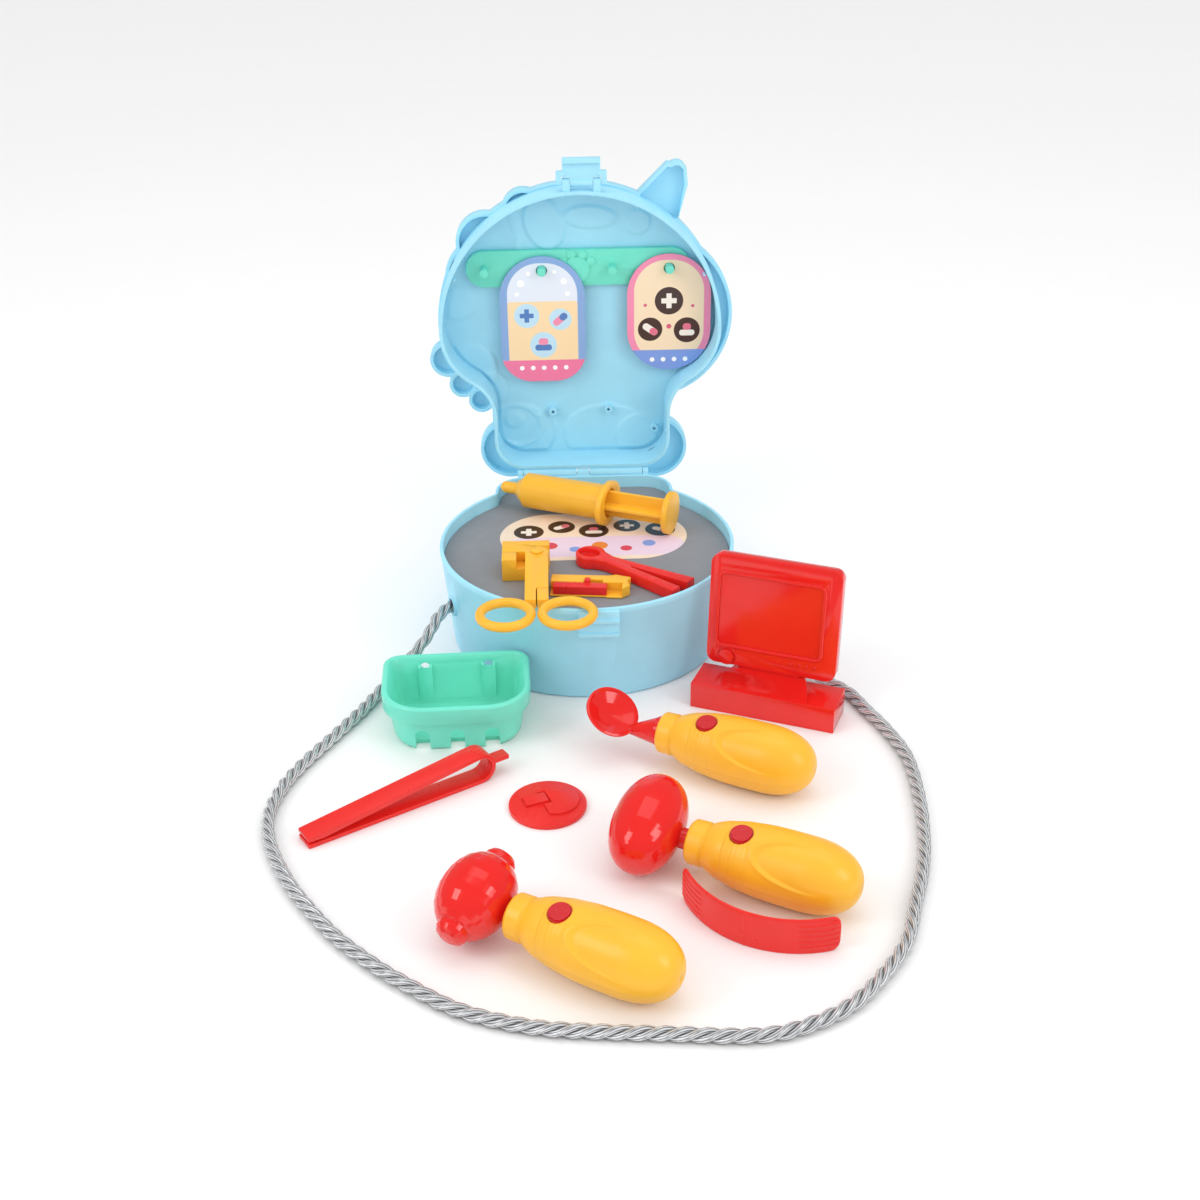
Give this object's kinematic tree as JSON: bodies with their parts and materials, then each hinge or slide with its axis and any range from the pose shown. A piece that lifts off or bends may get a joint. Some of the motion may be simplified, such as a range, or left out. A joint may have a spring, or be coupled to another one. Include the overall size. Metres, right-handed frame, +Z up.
{
  "type": "toy doctor case",
  "caption": "Hinged round-lobed toy case standing open with a hook rail, tray, latch and rope handle, its toy doctor instruments laid out on and around it.",
  "frame": {"origin": "centre of the case's round front lobe, on the flat bottom", "axes": "+Z up, +Y from the front lobe towards the hinge, +X to the right as seen from the front"},
  "size_m": [0.3899, 0.5538, 0.301],
  "materials": {
    "case_plastic": "light sky-blue moulded plastic, satin",
    "rope": "silver-white three-strand twisted cord",
    "steel": "plain steel pin and screws",
    "mint_plastic": "mint moulded plastic",
    "tray_plastic": "grey moulded plastic",
    "printed_sticker": "printed adhesive sheet",
    "printed_card": "printed plastic card",
    "yellow_plastic": "warm yellow moulded plastic",
    "red_plastic": "red moulded plastic",
    "lamp_white": "milky light-emitting diode",
    "board_green": "green circuit board",
    "cell_metal": "nickel-plated button cells"
  },
  "bodies": {
    "base": {"case_base": "case_plastic", "carry_rope": "rope", "rope_knot_left": "rope", "rope_knot_right": "rope", "hinge_pin": "steel"},
    "lid": {"case_lid": "case_plastic", "hook_rail": "mint_plastic", "latch_pin": "steel"},
    "latch": {"latch": "case_plastic"},
    "tray": {"tray_panel": "tray_plastic", "tray_sticker": "printed_sticker"},
    "left_card": {"card_left": "printed_card"},
    "right_card": {"card_right": "printed_card"},
    "basket": {"basket": "mint_plastic"},
    "syringe": {"syringe_barrel": "yellow_plastic"},
    "plunger": {"syringe_plunger": "yellow_plastic"},
    "scissors": {"scissors_blade_right": "yellow_plastic", "scissors_rivet": "yellow_plastic"},
    "scissors_arm": {"scissors_blade_left": "yellow_plastic"},
    "thermometer": {"thermometer_body": "yellow_plastic"},
    "thermometer_strip": {"thermometer_slider": "red_plastic"},
    "forceps": {"forceps": "red_plastic"},
    "monitor": {"monitor_base": "red_plastic"},
    "monitor_screen": {"monitor_screen": "red_plastic"},
    "tweezers": {"tweezers": "red_plastic"},
    "head_mirror": {"head_mirror": "red_plastic"},
    "head_band": {"head_band": "red_plastic"},
    "mirror_tool": {"mirror_tool_shell_upper": "yellow_plastic", "mirror_tool_shell_lower": "yellow_plastic", "mirror_tool_head": "red_plastic", "mirror_tool_lamp": "lamp_white", "mirror_tool_board": "board_green", "mirror_tool_cells": "cell_metal", "mirror_tool_screws": "steel"},
    "mirror_button": {"mirror_tool_button": "red_plastic"},
    "mallet_tool": {"mallet_tool_shell_upper": "yellow_plastic", "mallet_tool_shell_lower": "yellow_plastic", "mallet_tool_head": "red_plastic", "mallet_tool_lamp": "lamp_white", "mallet_tool_board": "board_green", "mallet_tool_cells": "cell_metal", "mallet_tool_screws": "steel"},
    "mallet_button": {"mallet_tool_button": "red_plastic"},
    "hammer_tool": {"hammer_tool_shell_upper": "yellow_plastic", "hammer_tool_shell_lower": "yellow_plastic", "hammer_tool_head": "red_plastic", "hammer_tool_lamp": "lamp_white", "hammer_tool_board": "board_green", "hammer_tool_cells": "cell_metal", "hammer_tool_screws": "steel"},
    "hammer_button": {"hammer_tool_button": "red_plastic"}
  },
  "joints": [
    {"name": "lid_hinge", "type": "hinge", "parent": "base", "child": "lid", "pos_m": [0, 0.109, 0.07], "axis": [-1, 0, 0], "range_deg": [-87, 5]},
    {"name": "latch_hinge", "type": "hinge", "parent": "lid", "child": "latch", "pos_m": [0.0025, 0.114, 0.284], "axis": [1, 0, 0], "range_deg": [0, 92]},
    {"name": "card_left_swing", "type": "hinge", "parent": "lid", "child": "left_card", "pos_m": [-0.0265, 0.1281, 0.219], "axis": [0, 1, 0], "range_deg": [-12, 12]},
    {"name": "card_right_swing", "type": "hinge", "parent": "lid", "child": "right_card", "pos_m": [0.064, 0.1281, 0.219], "axis": [0, 1, 0], "range_deg": [0, 12]},
    {"name": "tray_lift", "type": "slide", "parent": "base", "child": "tray", "axis": [0, 0, 1], "range_m": [0, 0.05]},
    {"name": "basket_lift", "type": "slide", "parent": "base", "child": "basket", "axis": [-0.45, -0.25, 0.8573], "range_m": [0, 0.038]},
    {"name": "syringe_lift", "type": "slide", "parent": "tray", "child": "syringe", "axis": [0, 0, 1], "range_m": [0, 0.05]},
    {"name": "scissors_lift", "type": "slide", "parent": "tray", "child": "scissors", "axis": [0, 0, 1], "range_m": [0, 0.05]},
    {"name": "scissors_pivot", "type": "hinge", "parent": "scissors", "child": "scissors_arm", "pos_m": [-0.034, -0.03, 0.07], "axis": [0, 0, -1], "range_deg": [0, 20]},
    {"name": "thermometer_lift", "type": "slide", "parent": "tray", "child": "thermometer", "axis": [0, 0, 1], "range_m": [0, 0.05]},
    {"name": "forceps_lift", "type": "slide", "parent": "tray", "child": "forceps", "axis": [0, 0, 1], "range_m": [0, 0.05]},
    {"name": "monitor_lift", "type": "slide", "parent": "base", "child": "monitor", "axis": [0, 0, 1], "range_m": [0, 0.06]},
    {"name": "tweezers_lift", "type": "slide", "parent": "base", "child": "tweezers", "axis": [0, 0, 1], "range_m": [0, 0.08]},
    {"name": "head_mirror_lift", "type": "slide", "parent": "base", "child": "head_mirror", "axis": [0, 0, 1], "range_m": [0, 0.08]},
    {"name": "head_band_lift", "type": "slide", "parent": "base", "child": "head_band", "axis": [0, 0, 1], "range_m": [0, 0.08]},
    {"name": "plunger_slide", "type": "slide", "parent": "syringe", "child": "plunger", "axis": [-0.9171, 0.3987, 0], "range_m": [0, 0.038]},
    {"name": "thermometer_slide", "type": "slide", "parent": "thermometer", "child": "thermometer_strip", "axis": [0.9945, -0.1045, 0], "range_m": [0, 0.008]},
    {"name": "screen_slide", "type": "slide", "parent": "monitor", "child": "monitor_screen", "axis": [0.0408, 0.0962, 0.9945], "range_m": [0, 0.03]},
    {"name": "mirror_tool_lift", "type": "slide", "parent": "base", "child": "mirror_tool", "axis": [0, 0, 1], "range_m": [0, 0.08]},
    {"name": "mirror_button_press", "type": "slide", "parent": "mirror_tool", "child": "mirror_button", "axis": [0.1215, 0.2285, -0.9659], "range_m": [0, 0.0015], "stiffness_N_per_m": 150, "springref_m": -0.002},
    {"name": "mallet_tool_lift", "type": "slide", "parent": "base", "child": "mallet_tool", "axis": [0, 0, 1], "range_m": [0, 0.08]},
    {"name": "mallet_button_press", "type": "slide", "parent": "mallet_tool", "child": "mallet_button", "axis": [0.1227, 0.2279, -0.9659], "range_m": [0, 0.0015], "stiffness_N_per_m": 150, "springref_m": -0.002},
    {"name": "hammer_tool_lift", "type": "slide", "parent": "base", "child": "hammer_tool", "axis": [0, 0, 1], "range_m": [0, 0.08]},
    {"name": "hammer_button_press", "type": "slide", "parent": "hammer_tool", "child": "hammer_button", "axis": [0.1372, 0.2195, -0.9659], "range_m": [0, 0.0015], "stiffness_N_per_m": 150, "springref_m": -0.002}
  ]
}
